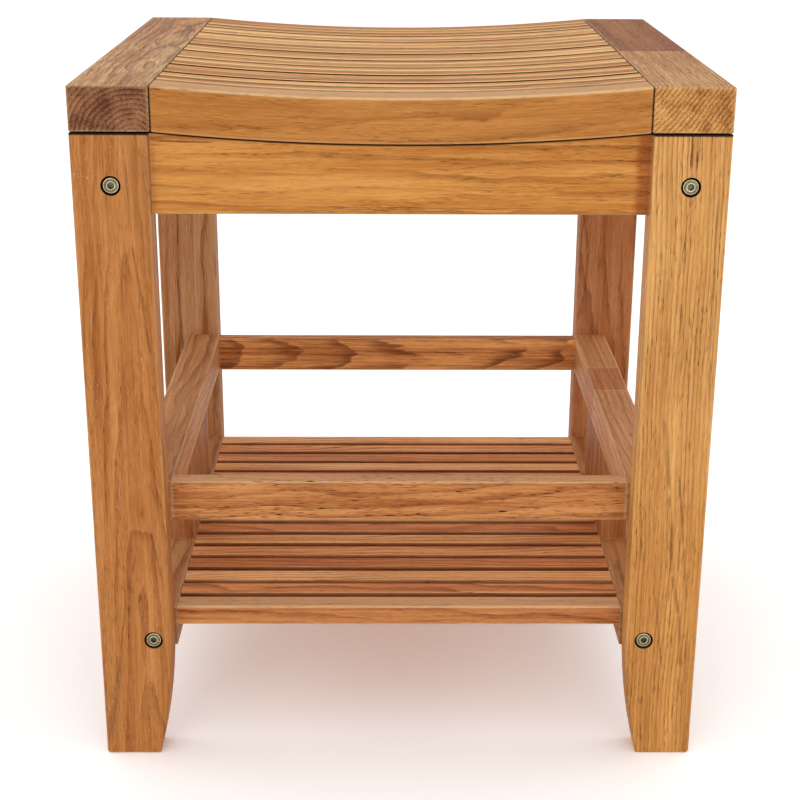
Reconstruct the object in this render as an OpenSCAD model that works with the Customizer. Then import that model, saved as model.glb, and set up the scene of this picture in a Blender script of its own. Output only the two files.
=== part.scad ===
// Teak shower bench: a dished slatted seat on four board legs, with a slatted
// shelf below and an open basket ring halfway up.
// Millimetres. +X is the right, -Y the front, +Z up. The origin is on the floor
// under the middle of the seat.

/* [Overall] */
// Width of the seat, left to right
seat_w = 400; // [330:5:500]
// Depth of the seat, front to back
seat_d = 350; // [290:5:430]
// Height of the seat's ends above the floor
seat_h = 459; // [380:1:560]

/* [Seat] */
// Thickness of the end boards and of the front and back slats
seat_t = 28; // [24:1:34]
// Width of each end board
end_w = 49; // [46:1:60]
// Thickness of the narrow slats
slat_t = 18; // [14:1:22]
// Width of the front and back slats
edge_slat_w = 23.5; // [18:0.5:30]
// Number of narrow slats between the front and back slats
narrow_slats = 18; // [14:1:19]
// Gap between neighbouring seat slats
slat_gap = 2.4; // [1.5:0.1:4]
// How far the middle of the seat dips below its ends
dish = 7.4; // [4:0.2:12]
// Rounding of the seat slats' long edges
slat_round = 1.8; // [1:0.1:3]
// Shadow gap from the seat down to the legs and to the front and back aprons
seat_gap = 1; // [0.5:0.1:2]

/* [Legs] */
// Width of a leg, seen from the front
leg_w = 47.5; // [40:0.5:58]
// Thickness of a leg, front to back
leg_t = 20; // [18:0.5:26]
// How much narrower a leg is at the floor
foot_taper = 11; // [6:0.1:16]
// Height at which the leg's inner edge starts to curve in
taper_start = 92; // [70:1:120]

/* [Aprons] */
// Thickness of the aprons
apron_t = 20; // [16:1:24]
// Height of the side aprons, from the seat down
apron_h = 52; // [46:1:65]
// How far the front and back aprons stand back from the faces of the legs
apron_back = 6; // [4:0.5:7]

/* [Shelf] */
// Height of the shelf's top above the floor
shelf_h = 101.5; // [90:0.5:125]
// Height of the shelf's side rails
shelf_rail_h = 28.5; // [26:0.5:34]
// Width of the side rails of the shelf and of the basket ring
rail_w = 27; // [25:0.5:32]
// How far the rails' inner faces stand in past the edges of the legs
rail_step = 1.5; // [0:0.1:3]
// Number of shelf slats
shelf_slats = 16; // [13:1:17]
// Gap between neighbouring shelf slats
shelf_gap = 4.5; // [3:0.1:6]
// Thickness of the shelf slats
shelf_slat_t = 14; // [12:0.5:18]
// Gap between the end slats of the shelf and the legs
shelf_leg_gap = 1.2; // [0.5:0.1:2]

/* [Basket ring] */
// Height of the ring's top above the floor
ring_h = 194.5; // [180:0.5:240]
// Height of the ring's rails
ring_rail_h = 28; // [26:0.5:34]
// Thickness of the ring's front and back rails
ring_end_t = 12; // [10:0.5:18]
// Width of the panels that carry the ring, front to back
panel_w = 100; // [80:1:140]
// Thickness of those panels
panel_t = 20; // [18:0.5:22]

/* [Edges] */
// Rounding of the boards' edges
board_round = 1.5; // [0.8:0.1:2.5]
// Rounding where the feet meet the floor
foot_round = 3; // [2:0.5:4]

/* [Tenons] */
// Length of the seat slats' tenons
tenon_l = 10; // [8:0.5:14]
// Length of the shelf slats' tenons
shelf_tenon_l = 6; // [4:0.5:7]
// Shoulder left on every side of a tenon
shoulder = 3.5; // [2:0.5:5]
// Clearance round a tenon, and past its end
tenon_fit = 0.15; // [0.05:0.05:0.3]

/* [Bolts and barrel nuts] */
// Diameter of the bolts' shanks
bolt_d = 6; // [5:1:6]
// Length of a bolt under its head
bolt_l = 50; // [45:1:60]
// Diameter of a bolt's head
head_d = 10.6; // [10:0.1:11.5]
// Height of a bolt's head
head_h = 5; // [4:0.5:6]
// Size of the hexagon socket, across its flats
socket_af = 4; // [3:1:5]
// Diameter of the counterbore that sinks the head
counterbore_d = 12.2; // [12:0.1:14]
// How far the head lies below the face of the leg
head_sink = 0.6; // [0.2:0.1:1.5]
// Clearance round a bolt in the wood
bolt_fit = 0.25; // [0.1:0.05:0.5]
// Diameter of the barrel nuts
nut_d = 10; // [9:1:11]
// Length of the barrel nuts
nut_l = 14; // [12:1:15]
// Distance from a rail's end to its barrel nut
nut_set = 28; // [24:1:30]
// Clearance round a barrel nut, and past its end
nut_fit = 0.1; // [0.05:0.05:0.2]
// Drop from the underside of the seat to the upper bolts
bolt_drop = 33; // [31:0.5:35]

/* [Dowels] */
// Diameter of the large dowels
dowel_d = 8; // [6:1:8]
// Length of the large dowels
dowel_l = 30; // [26:1:32]
// Diameter of the dowels at the ring's corners
pin_d = 6; // [4:1:6]
// Length of the dowels at the ring's corners
pin_l = 20; // [16:1:20]
// Clearance round a dowel
dowel_fit = 0.1; // [0.05:0.05:0.2]

/* [Hidden] */
$fn = 48;
arc_fn = 256;  // facets of the long, shallow curves
over = 1;      // how far a cut runs past a face, or one solid into its own kin

LEFT = -1;
RIGHT = 1;
FRONT = -1;
BACK = 1;

teak_leg = [0.72, 0.46, 0.24];
teak_apron = [0.80, 0.54, 0.28];
teak_end = [0.55, 0.38, 0.27];
teak_slat = [0.78, 0.57, 0.36];
teak_shelf = [0.62, 0.38, 0.22];
teak_rail = [0.70, 0.44, 0.22];
beech = [0.86, 0.74, 0.56];
brass_plate = [0.76, 0.70, 0.54];
zinc_plate = [0.70, 0.71, 0.72];

half_w = seat_w / 2;
half_d = seat_d / 2;

// Seat: the slats' tops and undersides are arcs about one axis
seat_under = seat_h - seat_t;
slat_half = half_w - end_w;
dish_r = (slat_half ^ 2 + dish ^ 2) / (2 * dish);
dish_axis_z = seat_h - dish + dish_r;
seat_slats = narrow_slats + 2;
slat_w = (seat_d - 2 * edge_slat_w - (narrow_slats + 1) * slat_gap) / narrow_slats;
slat_pitch = slat_w + slat_gap;

// Legs: one stands in each corner, flush with the seat's edges
leg_h = seat_under - seat_gap;
leg_in_x = half_w - leg_w;
leg_in_y = half_d - leg_t;
leg_mid_x = half_w - leg_w / 2;
taper_r = (taper_start ^ 2 + foot_taper ^ 2) / (2 * foot_taper);

// Rails of the shelf and of the ring, between the front and back legs
rail_in_x = leg_in_x - rail_step;
rail_mid_x = rail_in_x + rail_w / 2;
shelf_rail_mid_z = shelf_h - shelf_rail_h / 2;
ring_under = ring_h - ring_rail_h;
ring_mid_z = ring_h - ring_rail_h / 2;
shelf_slat_w = (2 * leg_in_y - 2 * shelf_leg_gap - (shelf_slats - 1) * shelf_gap) / shelf_slats;
shelf_pitch = shelf_slat_w + shelf_gap;

// Joints between the boards
upper_bolt_z = seat_under - bolt_drop;
counterbore_depth = head_h + head_sink;
bolt_reach = bolt_l + counterbore_depth - leg_t;  // length of the bolt past the leg
apron_dowel_y = (leg_in_y + half_d - apron_back) / 2;
apron_dowel_edge = 15;  // from the seat's underside, or the apron's lower edge
side_dowel_drop = 13;
leg_dowel_depth = 12;
dowel_back = dowel_l / 2 - leg_dowel_depth;
panel_dowel_edge = 20;
seat_dowel_in = 75;
pin_spread = 7.5;
dowel_end_gap = 0.5;

function two_digits(i) = str(i < 10 ? "0" : "", i);
function seat_slat_name(i) = str("seat_slat_", two_digits(i));
function shelf_slat_name(i) = str("shelf_slat_", two_digits(i));
function is_edge(i) = i == 1 || i == seat_slats;
function seat_slat_w(i) = is_edge(i) ? edge_slat_w : slat_w;
function seat_slat_t(i) = is_edge(i) ? seat_t : slat_t;
function seat_slat_y(i) =
    i == 1 ? edge_slat_w / 2 - half_d
    : i == seat_slats ? half_d - edge_slat_w / 2
    : edge_slat_w - half_d + (i - 1) * slat_pitch - slat_w / 2;
function shelf_slat_y(i) = shelf_leg_gap - leg_in_y + (i - 1) * shelf_pitch + shelf_slat_w / 2;

// ---------------------------------------------------------------- helpers

// Moves what is drawn in the right back corner to the named one
module corner(side, end) {
    mirror([side == LEFT ? 1 : 0, 0, 0])
        mirror([0, end == FRONT ? 1 : 0, 0])
            children();
}

module each_corner() {
    for (side = [LEFT, RIGHT], end = [FRONT, BACK])
        corner(side, end) children();
}

// Turns a shape that stands along Z to lie along X or Y
module along_x() {
    rotate([90, 0, 90]) children();
}

module along_y() {
    rotate([90, 0, 0]) children();
}

// Rectangle with round corners, centred
module rounded(size, r) {
    square([size.x - 2 * r, size.y], center = true);
    square([size.x, size.y - 2 * r], center = true);
    for (x = [-1, 1], y = [-1, 1])
        translate([x * (size.x / 2 - r), y * (size.y / 2 - r)]) circle(r);
}

// Board with all twelve edges eased, centred
module board(size, r = board_round) {
    intersection() {
        linear_extrude(size.z, center = true) rounded([size.x, size.y], r);
        along_y() linear_extrude(size.y, center = true) rounded([size.x, size.z], r);
        along_x() linear_extrude(size.x, center = true) rounded([size.y, size.z], r);
    }
}

// Bar along X with square ends and eased long edges, centred
module bar_x(size, r = board_round) {
    along_x() linear_extrude(size.x, center = true) rounded([size.y, size.z], r);
}

// Bar along Y with square ends and eased long edges, centred
module bar_y(size, r = board_round) {
    along_y() linear_extrude(size.y, center = true) rounded([size.x, size.z], r);
}

// ---------------------------------------------------------------- joinery

// A slat's two tenons, or with a clearance the mortises that take them.
// reach is half the slat's length between its shoulders.
module tenons(reach, y, z, width, height, length, fit = 0) {
    for (side = [LEFT, RIGHT])
        translate([side * (reach + (length + fit - over) / 2), y, z])
            cube([length + fit + over, width + 2 * fit, height + 2 * fit], center = true);
}

module seat_tenons(i, fit = 0) {
    tenons(slat_half, seat_slat_y(i), seat_h - seat_slat_t(i) / 2,
        seat_slat_w(i) - 2 * shoulder, seat_slat_t(i) - 2 * shoulder, tenon_l, fit);
}

module shelf_tenons(i, fit = 0) {
    tenons(rail_in_x, shelf_slat_y(i), shelf_h - shelf_slat_t / 2,
        shelf_slat_w - 2 * shoulder, shelf_slat_t - 2 * shoulder, shelf_tenon_l, fit);
}

// Dowel with chamfered ends, or with a clearance its plain hole, along Z
module dowel(d, l, fit = 0) {
    tip = d / 10;
    if (fit == 0)
        rotate_extrude()
            polygon([[0, -l / 2], [d / 2 - tip, -l / 2], [d / 2, tip - l / 2],
                [d / 2, l / 2 - tip], [d / 2 - tip, l / 2], [0, l / 2]]);
    else
        cylinder(d = d + 2 * fit, h = l + 2 * dowel_end_gap, center = true);
}

// Front and back aprons to the legs' edges
module apron_dowels(fit = 0) {
    for (z = [seat_under - apron_dowel_edge, seat_under - apron_h + apron_dowel_edge])
        translate([leg_in_x, apron_dowel_y, z]) along_x() dowel(dowel_d, dowel_l, fit);
}

// Side aprons to the legs
module side_apron_dowel(fit = 0) {
    translate([leg_mid_x, leg_in_y - dowel_back, seat_under - side_dowel_drop])
        along_y() dowel(dowel_d, dowel_l, fit);
}

// Ring to the legs
module ring_dowel(fit = 0) {
    translate([rail_mid_x, leg_in_y - dowel_back, ring_mid_z])
        along_y() dowel(dowel_d, dowel_l, fit);
}

// Panel to the shelf rail below it and to the ring rail above it
module panel_dowels(fit = 0) {
    for (z = [shelf_h, ring_under])
        translate([rail_mid_x, panel_w / 2 - panel_dowel_edge, z]) dowel(dowel_d, dowel_l, fit);
}

// Seat to the side aprons
module seat_dowel(fit = 0) {
    translate([leg_mid_x, half_d - seat_dowel_in, seat_under]) dowel(dowel_d, dowel_l, fit);
}

// Corners of the ring
module corner_pins(fit = 0) {
    for (z = [-pin_spread, pin_spread])
        translate([rail_in_x, leg_in_y - ring_end_t / 2, ring_mid_z + z])
            along_x() dowel(pin_d, pin_l, fit);
}

// Places a bolt's axis: +Z points out of the leg's face, from the face
module at_upper_bolt() {
    translate([leg_mid_x, half_d, upper_bolt_z]) rotate([-90, 0, 0]) children();
}

module at_lower_bolt() {
    translate([rail_mid_x, half_d, shelf_rail_mid_z]) rotate([-90, 0, 0]) children();
}

// Hexagon-socket bolt; the head has a chamfered rim and a ring turned in its top
module bolt() {
    rim = 0.7;
    ring_in = 3.2;
    ring_out = 4.2;
    ring_deep = 0.4;
    socket_deep = 3;
    translate([0, 0, -head_sink])
        difference() {
            rotate_extrude()
                polygon([[0, 0], [ring_in, 0], [ring_in, -ring_deep], [ring_out, -ring_deep],
                    [ring_out, 0], [head_d / 2 - rim, 0], [head_d / 2, -rim],
                    [head_d / 2, -head_h], [bolt_d / 2, -head_h],
                    [bolt_d / 2, -head_h - bolt_l + rim], [bolt_d / 2 - rim, -head_h - bolt_l],
                    [0, -head_h - bolt_l]]);
            translate([0, 0, -socket_deep])
                cylinder(d = socket_af / cos(30), h = socket_deep + over, $fn = 6);
        }
}

// The hole for a bolt's shank, as deep as the bolt needs, and its counterbore
module bolt_hole() {
    translate([0, 0, -counterbore_depth - bolt_l - over])
        cylinder(d = bolt_d + 2 * bolt_fit, h = counterbore_depth + bolt_l + 2 * over);
    translate([0, 0, -counterbore_depth])
        cylinder(d = counterbore_d, h = counterbore_depth + over);
}

// Barrel nut along Z, cross-drilled along Y, with a slot to turn it by
module barrel_nut() {
    slot_w = 1.4;
    slot_deep = 1.2;
    difference() {
        cylinder(d = nut_d, h = nut_l, center = true);
        along_y() cylinder(d = bolt_d + 2 * nut_fit, h = nut_d + 2 * over, center = true);
        translate([0, 0, -nut_l / 2])
            cube([slot_w, nut_d + 2 * over, 2 * slot_deep], center = true);
    }
}

// Hole for a barrel nut, which goes in from below; below is how far its mouth is
module nut_hole(below) {
    translate([0, 0, -below - over])
        cylinder(d = nut_d + 2 * nut_fit, h = below + over + nut_l / 2 + nut_fit);
}

// The upper nut goes in from the apron's inner face, the lower one from below
module at_upper_nut() {
    translate([leg_mid_x, leg_in_y - nut_set, upper_bolt_z]) rotate([0, 90, 0]) children();
}

module at_lower_nut() {
    translate([rail_mid_x, leg_in_y - nut_set, shelf_rail_mid_z]) children();
}

// ---------------------------------------------------------------- legs

// A leg's inner edge runs straight down and then round an arc to the floor, where
// the leg is narrower by foot_taper. This is its section, from that arc's centre,
// drawn wide enough to reach past the leg's outer face.
module leg_section() {
    translate([taper_r - leg_w, 0]) rounded([2 * leg_w, leg_t], board_round);
}

module leg_sweep() {
    turn = atan(taper_start / (taper_r - 2 * leg_w));  // ends below the floor
    translate([leg_in_x + taper_r, half_d - leg_t / 2, taper_start]) {
        mirror([1, 0, 0]) linear_extrude(leg_h - taper_start) leg_section();
        rotate([90, 0, 0]) rotate([0, 0, 180])
            rotate_extrude(angle = turn, $fn = arc_fn) leg_section();
    }
}

module leg() {
    color(teak_leg)
        difference() {
            intersection() {
                leg_sweep();
                translate([half_w - leg_w, half_d - leg_t / 2, 0]) linear_extrude(leg_h)
                    rounded([2 * leg_w, leg_t], board_round);
                translate([half_w - leg_w, half_d - leg_t / 2, leg_h / 2]) along_x()
                    linear_extrude(2 * leg_w, center = true)
                        rounded([leg_t, leg_h], board_round);
                translate([half_w - leg_w, half_d - leg_t / 2, leg_h]) along_y()
                    linear_extrude(leg_t, center = true)
                        rounded([2 * leg_w, 2 * leg_h], foot_round);
            }
            at_upper_bolt() bolt_hole();
            at_lower_bolt() bolt_hole();
            apron_dowels(dowel_fit);
            side_apron_dowel(dowel_fit);
            ring_dowel(dowel_fit);
        }
}

// ---------------------------------------------------------------- aprons

// Front or back apron: its top is an arc that follows the seat's underside
module end_apron() {
    color(teak_apron)
        difference() {
            translate([0, half_d - apron_back - apron_t / 2, seat_under - apron_h / 2])
                bar_x([2 * leg_in_x, apron_t, apron_h]);
            translate([0, half_d, dish_axis_z]) along_y()
                cylinder(r = dish_r + seat_t + seat_gap, h = half_d, $fn = arc_fn);
            for (side = [LEFT, RIGHT])
                corner(side, BACK) apron_dowels(dowel_fit);
        }
}

// Side apron: the seat's end board stands on it
module side_apron() {
    color(teak_apron)
        difference() {
            translate([leg_mid_x, 0, seat_under - apron_h / 2])
                bar_y([apron_t, 2 * leg_in_y, apron_h]);
            for (end = [FRONT, BACK])
                corner(RIGHT, end) {
                    side_apron_dowel(dowel_fit);
                    seat_dowel(dowel_fit);
                    at_upper_bolt() bolt_hole();
                    at_upper_nut() nut_hole(apron_t / 2);
                }
        }
}

// ---------------------------------------------------------------- seat

module seat_end() {
    color(teak_end)
        difference() {
            translate([half_w - end_w / 2, 0, seat_under + seat_t / 2])
                board([end_w, seat_d, seat_t]);
            for (i = [1 : seat_slats])
                seat_tenons(i, tenon_fit);
            for (end = [FRONT, BACK])
                corner(RIGHT, end) seat_dowel(dowel_fit);
        }
}

// A seat slat is a slice of a wide ring, cut square where it meets the end boards
module seat_slat(i) {
    thick = seat_slat_t(i);
    half_turn = asin((slat_half + thick) / dish_r);
    color(teak_slat) {
        intersection() {
            translate([0, seat_slat_y(i), dish_axis_z]) rotate([90, 0, 0])
                rotate([0, 0, -90 - half_turn])
                    rotate_extrude(angle = 2 * half_turn, $fn = arc_fn)
                        translate([dish_r + thick / 2, 0])
                            rounded([thick, seat_slat_w(i)], slat_round);
            translate([0, seat_slat_y(i), seat_h - seat_t])
                cube([2 * slat_half, 2 * edge_slat_w, 4 * seat_t], center = true);
        }
        seat_tenons(i);
    }
}

// ---------------------------------------------------------------- shelf

module shelf_rail() {
    color(teak_rail)
        difference() {
            translate([rail_mid_x, 0, shelf_rail_mid_z])
                bar_y([rail_w, 2 * leg_in_y, shelf_rail_h]);
            for (i = [1 : shelf_slats])
                shelf_tenons(i, tenon_fit);
            for (end = [FRONT, BACK])
                corner(RIGHT, end) {
                    panel_dowels(dowel_fit);
                    at_lower_bolt() bolt_hole();
                    at_lower_nut() nut_hole(shelf_rail_h / 2);
                }
        }
}

module shelf_slat(i) {
    color(teak_shelf) {
        translate([0, shelf_slat_y(i), shelf_h - shelf_slat_t / 2])
            bar_x([2 * rail_in_x, shelf_slat_w, shelf_slat_t]);
        shelf_tenons(i);
    }
}

// ---------------------------------------------------------------- basket ring

// Front or back rail of the ring, between its side rails
module ring_end_rail() {
    color(teak_rail)
        difference() {
            translate([0, leg_in_y - ring_end_t / 2, ring_mid_z])
                bar_x([2 * rail_in_x, ring_end_t, ring_rail_h]);
            for (side = [LEFT, RIGHT])
                corner(side, BACK) corner_pins(dowel_fit);
        }
}

module ring_side_rail() {
    color(teak_rail)
        difference() {
            translate([rail_mid_x, 0, ring_mid_z])
                bar_y([rail_w, 2 * leg_in_y, ring_rail_h]);
            for (end = [FRONT, BACK])
                corner(RIGHT, end) {
                    ring_dowel(dowel_fit);
                    corner_pins(dowel_fit);
                    panel_dowels(dowel_fit);
                }
        }
}

// Panel that stands on the shelf rail and carries the ring
module side_panel() {
    color(teak_rail)
        difference() {
            translate([rail_in_x + panel_t / 2, 0, (shelf_h + ring_under) / 2])
                linear_extrude(ring_under - shelf_h, center = true)
                    rounded([panel_t, panel_w], board_round);
            for (end = [FRONT, BACK])
                corner(RIGHT, end) panel_dowels(dowel_fit);
        }
}

// ---------------------------------------------------------------- fasteners

module connector_bolts() {
    color(brass_plate)
        each_corner() {
            at_upper_bolt() bolt();
            at_lower_bolt() bolt();
        }
}

module barrel_nuts() {
    color(zinc_plate)
        each_corner() {
            at_upper_nut() barrel_nut();
            at_lower_nut() barrel_nut();
        }
}

module large_dowels() {
    color(beech)
        each_corner() {
            apron_dowels();
            side_apron_dowel();
            ring_dowel();
            panel_dowels();
            seat_dowel();
        }
}

module small_dowels() {
    color(beech) each_corner() corner_pins();
}

// ---------------------------------------------------------------- the bench

corner(LEFT, FRONT) leg();  // leg_front_left
corner(RIGHT, FRONT) leg();  // leg_front_right
corner(LEFT, BACK) leg();  // leg_back_left
corner(RIGHT, BACK) leg();  // leg_back_right
corner(RIGHT, FRONT) end_apron();  // apron_front
end_apron();  // apron_back
corner(LEFT, BACK) side_apron();  // apron_left
side_apron();  // apron_right
corner(LEFT, BACK) seat_end();  // seat_end_left
seat_end();  // seat_end_right
for (i = [1 : seat_slats])
    seat_slat(i);
corner(LEFT, BACK) shelf_rail();  // shelf_rail_left
shelf_rail();  // shelf_rail_right
for (i = [1 : shelf_slats])
    shelf_slat(i);
corner(RIGHT, FRONT) ring_end_rail();  // ring_rail_front
ring_end_rail();  // ring_rail_back
corner(LEFT, BACK) ring_side_rail();  // ring_rail_left
ring_side_rail();  // ring_rail_right
corner(LEFT, BACK) side_panel();  // side_panel_left
side_panel();  // side_panel_right
connector_bolts();
barrel_nuts();
large_dowels();
small_dowels();
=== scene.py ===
import math
from collections import namedtuple
from functools import reduce

import bmesh
import bpy
from bpy.props import (
    FloatProperty,
    FloatVectorProperty,
    IntProperty,
    PointerProperty,
)
from mathutils import Euler, Matrix, Vector


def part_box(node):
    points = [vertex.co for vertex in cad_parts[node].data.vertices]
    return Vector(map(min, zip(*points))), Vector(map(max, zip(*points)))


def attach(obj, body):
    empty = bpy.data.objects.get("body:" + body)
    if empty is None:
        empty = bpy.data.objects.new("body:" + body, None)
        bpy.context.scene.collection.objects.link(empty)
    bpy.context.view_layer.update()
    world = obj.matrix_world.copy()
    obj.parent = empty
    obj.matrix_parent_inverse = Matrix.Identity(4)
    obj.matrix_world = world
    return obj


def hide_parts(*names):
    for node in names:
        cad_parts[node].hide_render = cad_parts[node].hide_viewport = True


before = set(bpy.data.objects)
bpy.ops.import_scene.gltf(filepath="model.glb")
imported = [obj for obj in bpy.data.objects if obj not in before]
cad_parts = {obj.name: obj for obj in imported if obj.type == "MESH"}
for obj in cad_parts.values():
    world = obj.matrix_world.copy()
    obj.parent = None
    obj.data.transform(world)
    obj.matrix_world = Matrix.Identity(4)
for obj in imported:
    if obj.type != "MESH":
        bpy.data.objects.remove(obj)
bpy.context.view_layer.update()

bl_info = {
    "name": "Teak shower bench",
    "version": (1, 0, 0),
    "blender": (4, 5, 0),
    "location": "3D View > Sidebar > Shower bench",
    "description": "Finishes a teak shower bench: a dished slatted seat, a shelf and a basket ring",
    "category": "Object",
}

MM = 0.001
FLOOR_SIZE = 24  # metres
RING_SPACING = 4.5 * MM  # of ordinary teak; the setting of this name scales all boards' rings
TOUCHING = 1e-6  # points closer than this are one point


# ---------------------------------------------------------------- sizes read off the frame

END_LOW, END_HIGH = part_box("seat_end_right")
SLAT_HALF = END_LOW.x  # half a seat slat's length, from the middle to its end board
SEAT_TOP = END_HIGH.z
LEG_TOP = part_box("leg_front_right")[1].z  # the aprons' tops start here too, and follow the dish
BOLTS_LOW, BOLTS_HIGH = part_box("connector_bolts")
BETWEEN_BOLTS = (BOLTS_LOW.z + BOLTS_HIGH.z) / 2  # a height between the two rows of bolts
SHELF_RAIL_LOW, SHELF_RAIL_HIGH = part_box("shelf_rail_right")

SEAT_SLATS = [f"seat_slat_{i:02d}" for i in range(1, 21)]
SHELF_SLATS = [f"shelf_slat_{i:02d}" for i in range(1, 17)]


def tone(red, green, blue):
    """A colour given as screen values from 0 to 255, as the linear colour that shaders use."""
    return tuple(
        c / 12.92 if c <= 0.04045 else ((c + 0.055) / 1.055) ** 2.4
        for c in (red / 255, green / 255, blue / 255)
    )


# ---------------------------------------------------------------- shader nodes


class Value:
    """A shader value that can be used in Python sums; each sum adds its Math node."""

    def __init__(self, graph, socket):
        self.graph = graph
        self.socket = socket

    def maths(self, operation, *parts, clamp=False):
        settings = {"operation": operation, "use_clamp": clamp}
        return self.graph.add("ShaderNodeMath", settings, dict(enumerate(parts)))

    def __add__(self, other):
        return self.maths("ADD", self, other)

    def __radd__(self, other):
        return self.maths("ADD", other, self)

    def __sub__(self, other):
        return self.maths("SUBTRACT", self, other)

    def __rsub__(self, other):
        return self.maths("SUBTRACT", other, self)

    def __mul__(self, other):
        return self.maths("MULTIPLY", self, other)

    def __rmul__(self, other):
        return self.maths("MULTIPLY", other, self)

    def __truediv__(self, other):
        return self.maths("DIVIDE", self, other)

    def __pow__(self, power):
        return self.maths("POWER", self, power)

    def __abs__(self):
        return self.maths("ABSOLUTE", self)

    def fraction(self):
        return self.maths("FRACT", self)

    def least(self, other):
        return self.maths("MINIMUM", self, other)

    def most(self, other):
        return self.maths("MAXIMUM", self, other)

    def held(self):
        """Kept between 0 and 1."""
        return self.maths("ADD", self, 0.0, clamp=True)

    def step(self, start, end):
        """Rises smoothly from 0 at start to 1 at end; falls if end is the lower one."""
        flip = end < start
        low, high = min(start, end), max(start, end)
        return self.graph.add(
            "ShaderNodeMapRange",
            {"interpolation_type": "SMOOTHSTEP"},
            {
                "Value": self,
                "From Min": low,
                "From Max": high,
                "To Min": 1.0 if flip else 0.0,
                "To Max": 0.0 if flip else 1.0,
            },
        )


class Graph:
    """The nodes of one material, or of the surroundings."""

    def __init__(self, owner):
        owner.use_nodes = True
        self.owner = owner
        self.tree = owner.node_tree
        self.tree.nodes.clear()

    def add(self, kind, settings=None, inputs=None, output=0):
        """Adds a node, sets it, fills its sockets with values or links, and returns an output."""
        node = self.tree.nodes.new(kind)
        for key, value in (settings or {}).items():
            setattr(node, key, value)
        for key, value in (inputs or {}).items():
            if isinstance(value, Value):
                self.tree.links.new(value.socket, node.inputs[key])
            else:
                node.inputs[key].default_value = value
        return Value(self, node.outputs[output]) if node.outputs else None

    def split(self, vector):
        """The X, Y and Z of a vector."""
        first = self.add("ShaderNodeSeparateXYZ", inputs={0: vector})
        return {axis: Value(self, first.socket.node.outputs[axis]) for axis in "XYZ"}

    def join(self, x, y, z):
        """A vector of three numbers."""
        return self.add("ShaderNodeCombineXYZ", inputs={0: x, 1: y, 2: z})

    def noise(self, place, lengths, seed, detail):
        """Soft noise whose spots have these lengths along the three axes of place."""
        stretch = tuple(1 / length for length in lengths)
        # each seed reads the noise at a place of its own
        start = (seed * 7.31, seed * 3.17 + 11, seed * 5.53 - 7)
        scaled = self.add(
            "ShaderNodeVectorMath",
            {"operation": "MULTIPLY_ADD"},
            {0: place, 1: stretch, 2: start},
        )
        return self.add(
            "ShaderNodeTexNoise",
            inputs={"Vector": scaled, "Scale": 1.0, "Detail": detail, "Roughness": 0.5},
        )

    def blend(self, factor, first, second):
        """A mix of two colours."""
        inputs = {0: factor, 6: first, 7: second}
        for key in (6, 7):
            if isinstance(inputs[key], tuple):
                inputs[key] = (*inputs[key][:3], 1.0)
        settings = {"data_type": "RGBA", "blend_type": "MIX", "clamp_factor": True}
        return self.add("ShaderNodeMix", settings, inputs, output=2)

    def shade(self, colour, amount):
        """A colour made lighter or darker by a factor that may vary."""
        return self.add(
            "ShaderNodeVectorMath", {"operation": "SCALE"}, {0: colour, "Scale": amount}
        )

    def surface(self, colour, roughness, height, depth, **constants):
        """The finished surface: colour, roughness and relief vary, the rest is set once."""
        normal = self.add(
            "ShaderNodeBump",
            inputs={"Strength": 1.0, "Distance": depth, "Height": height},
        )
        inputs = {"Base Color": colour, "Roughness": roughness, "Normal": normal}
        inputs.update({key.replace("_", " "): value for key, value in constants.items()})
        shader = self.add("ShaderNodeBsdfPrincipled", inputs=inputs)
        self.add("ShaderNodeOutputMaterial", inputs={"Surface": shader})
        return self.owner

    def background_ray(self):
        """1 where the camera, a reflection or clear glass looks at a thing, and 0 for its light."""
        camera, glossy, clear = (
            self.add("ShaderNodeLightPath", output=f"Is {kind} Ray")
            for kind in ("Camera", "Glossy", "Transmission")
        )
        return camera.most(glossy).most(clear)


def strongest(shares):
    """The highest of several shares at each place."""
    return reduce(Value.most, shares)


# ---------------------------------------------------------------- teak

# How one board looks. Colours are screen values; lengths are millimetres.
# pith is where the tree's centre lies, measured across the board's width and
# thickness, so a far one gives straight lines and a near one gives arches.
Look = namedtuple(
    "Look",
    "light dark line rings pith cone lines streaks patches grain pores flecks wander edge "
    "end_light end_dark changes marks knots gaps gap_tone seam bored pale_top",
    defaults=(
        (118, 62, 24),  # line
        4.5,  # rings
        (14.0, -38.0),  # pith
        0.03,  # cone
        0.4,  # lines
        1.0,  # streaks
        0.8,  # patches
        1.0,  # grain
        0.6,  # pores
        0.3,  # flecks
        5.0,  # wander
        0.12,  # edge: how much the edges are paled, by wear and by a painted highlight
        (168, 116, 76),  # end_light
        (122, 76, 44),  # end_dark
        (),  # changes of tone: (place along, softness, light, dark) from there on
        (),  # marks: (along, across, along, across, half its width, strength)
        (),  # knots: (place along, place across, size)
        (0.0, 0.0),  # gaps: how dark the painted shade is on the sides next to other slats, low and high
        (84, 26, 0),  # gap_tone: colour of the painted shade in the gaps
        0.0,  # seam: how dark the painted shade is on the board just under the seat
        False,  # bored: has painted shade in the holes that the bolts' heads lie in
        0.0,  # pale top: how strongly the upper face is made paler, as painted light
    ),
)

# Tones that all boards share
FLECK = (236, 204, 156)
WORN_AND_LIT_EDGE = (250, 220, 168)
LIT_EDGE = (255, 226, 166)
LIT_TOP = (238, 194, 146)
DARK_SPOT = (78, 38, 18)
PALE_JOINT = (222, 178, 136)
SHADOW = (34, 14, 6)

BORE_EDGE = (6.35, 6.05)  # radius in mm where the painted shade of a bolt's hole ends and where it is full

# The directions of a board's length, width and thickness
UPRIGHT = "ZXY"
UPRIGHT_SIDE = "ZYX"
SIDEWAYS = "XZY"
SIDEWAYS_FLAT = "XYZ"
LENGTHWISE = "YXZ"


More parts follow.
